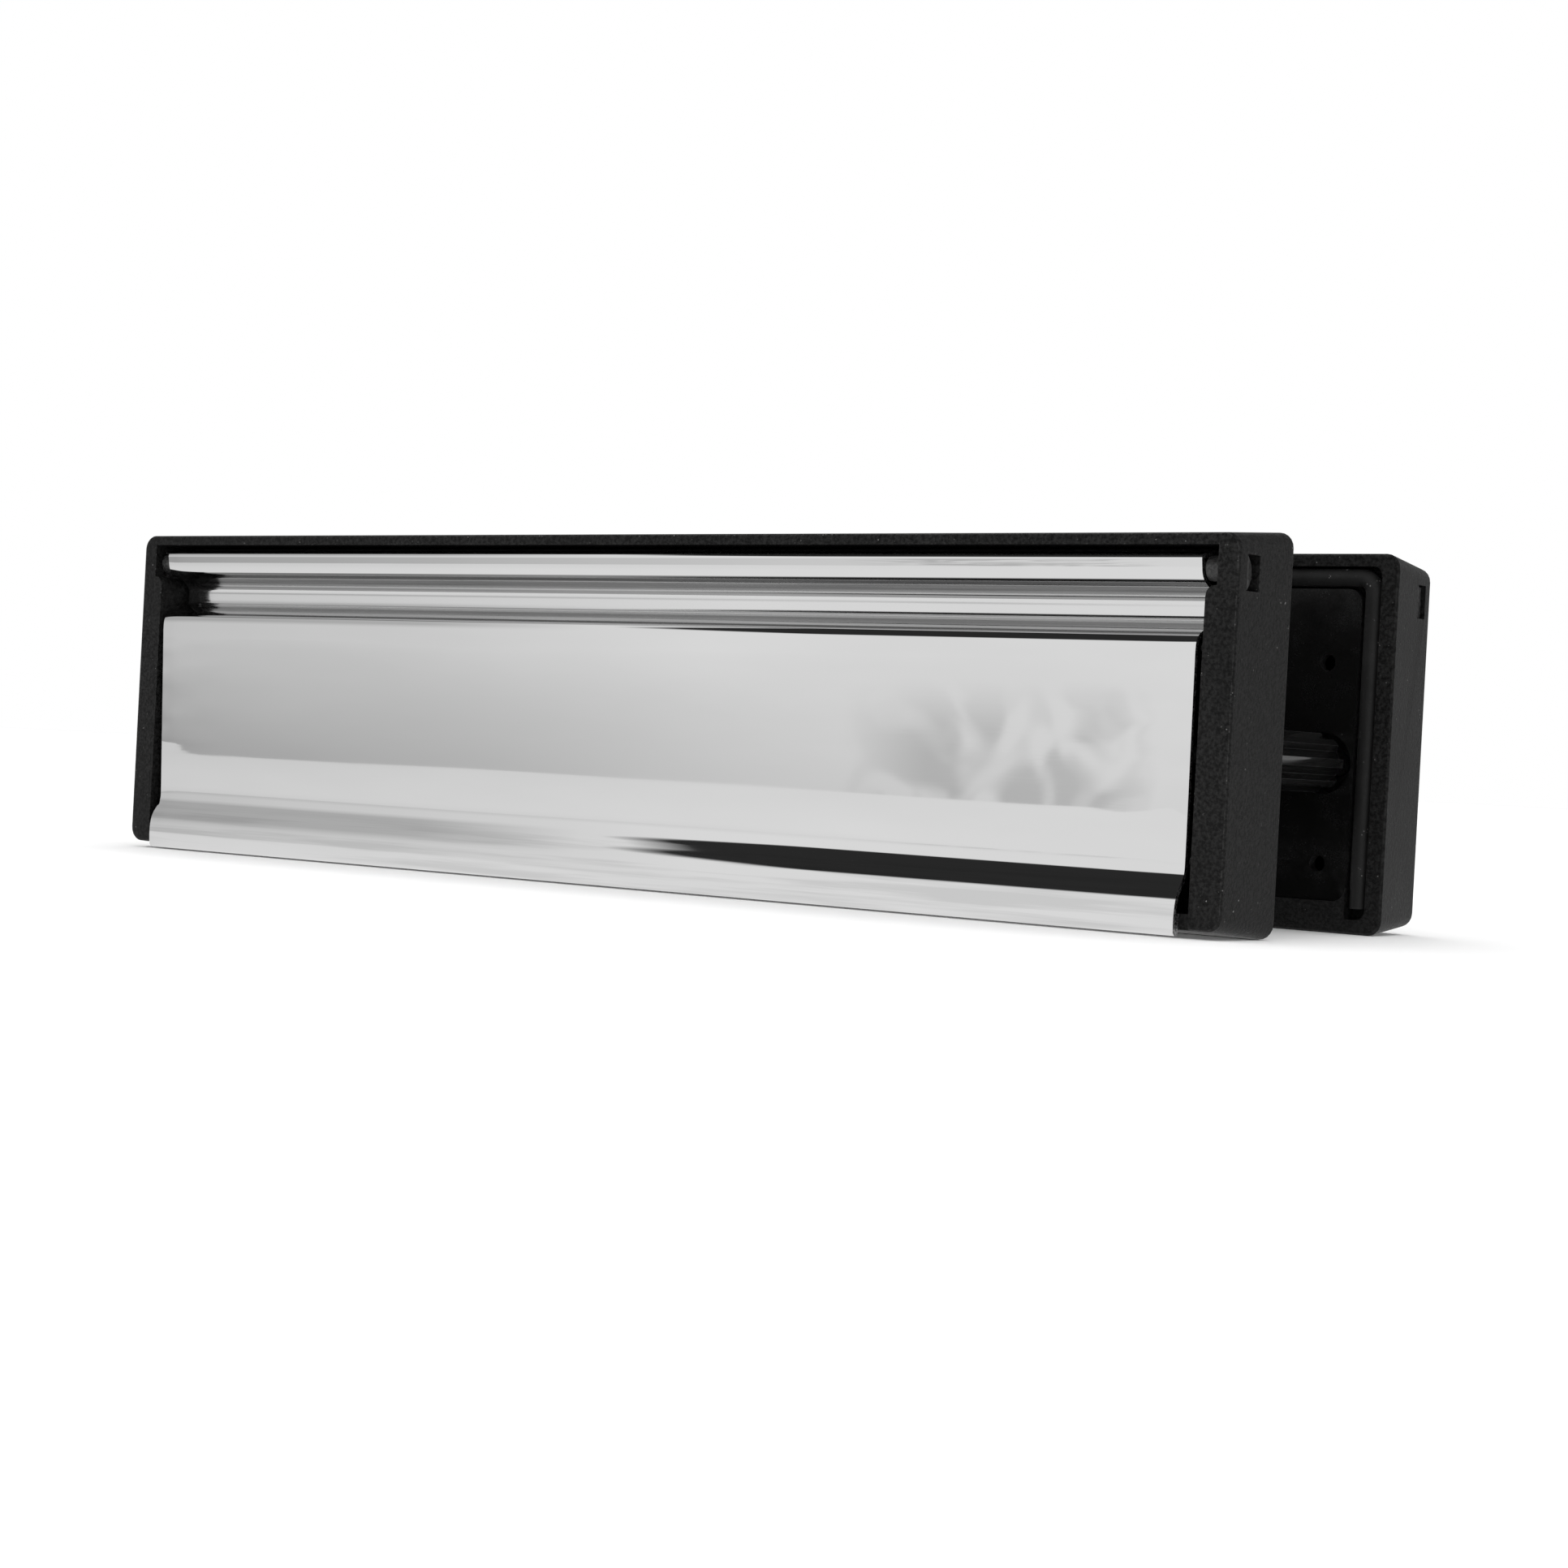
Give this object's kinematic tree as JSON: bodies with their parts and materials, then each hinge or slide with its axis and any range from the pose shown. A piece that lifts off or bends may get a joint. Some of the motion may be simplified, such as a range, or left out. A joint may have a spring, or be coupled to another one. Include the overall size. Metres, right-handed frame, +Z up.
{
  "type": "letter plate",
  "caption": "Telescopic letter plate for a door: moulded outer and inner frames with sprung polished metal flaps, joined by sliding sleeves and ribbed fixing posts.",
  "frame": {"origin": "midway between the outer and inner units at the rest door thickness, centred along the plate, at the height of the frames' lowest edge", "axes": "+X along the plate, to the right seen from outdoors; the outer flap faces -Y and the inner flap +Y; +Z up"},
  "size_m": [0.306, 0.0876, 0.078],
  "materials": {
    "frame_nylon": "black glass-filled nylon with a fine spark texture",
    "flap_polished": "mirror-polished sheet metal",
    "cord_rubber": "dull black rubber with a little dust",
    "sleeve_plastic": "smooth black plastic",
    "clip_nylon": "smooth moulded nylon",
    "spring_steel": "drawn spring wire",
    "post_plastic": "glossy black nylon",
    "insert_brass": "knurled brass",
    "bolt_steel": "zinc-plated steel"
  },
  "bodies": {
    "outer_unit": {"outer_frame": "frame_nylon", "outer_gasket": "cord_rubber", "outer_sleeve": "sleeve_plastic", "outer_mouth_seal": "cord_rubber", "outer_hinge_clip_left": "clip_nylon", "outer_hinge_clip_right": "clip_nylon", "outer_flap_spring_left": "spring_steel", "outer_flap_spring_right": "spring_steel", "fixing_post_left": "post_plastic", "fixing_post_right": "post_plastic", "post_insert_left": "insert_brass", "post_insert_right": "insert_brass"},
    "outer_flap": {"outer_flap": "flap_polished"},
    "inner_unit": {"inner_frame": "frame_nylon", "inner_gasket": "cord_rubber", "inner_sleeve": "sleeve_plastic", "inner_mouth_seal": "cord_rubber", "inner_hinge_clip_left": "clip_nylon", "inner_hinge_clip_right": "clip_nylon", "inner_flap_spring_left": "spring_steel", "inner_flap_spring_right": "spring_steel", "fixing_bolt_left": "bolt_steel", "fixing_bolt_right": "bolt_steel", "bolt_cover_left": "clip_nylon", "bolt_cover_right": "clip_nylon"},
    "inner_flap": {"inner_flap": "flap_polished"}
  },
  "joints": [
    {"name": "outer_flap_hinge", "type": "hinge", "parent": "outer_unit", "child": "outer_flap", "pos_m": [0, -0.038, 0.0699], "axis": [-1, 0, 0], "range_deg": [0, 160], "stiffness_Nm_per_rad": 0.03, "springref_deg": -143.24},
    {"name": "inner_unit_slide", "type": "slide", "parent": "outer_unit", "child": "inner_unit", "axis": [0, 1, 0], "range_m": [-0.006, 0.034]},
    {"name": "inner_flap_hinge", "type": "hinge", "parent": "inner_unit", "child": "inner_flap", "pos_m": [0, 0.038, 0.0699], "axis": [1, 0, 0], "range_deg": [0, 160], "stiffness_Nm_per_rad": 0.03, "springref_deg": -143.24}
  ]
}
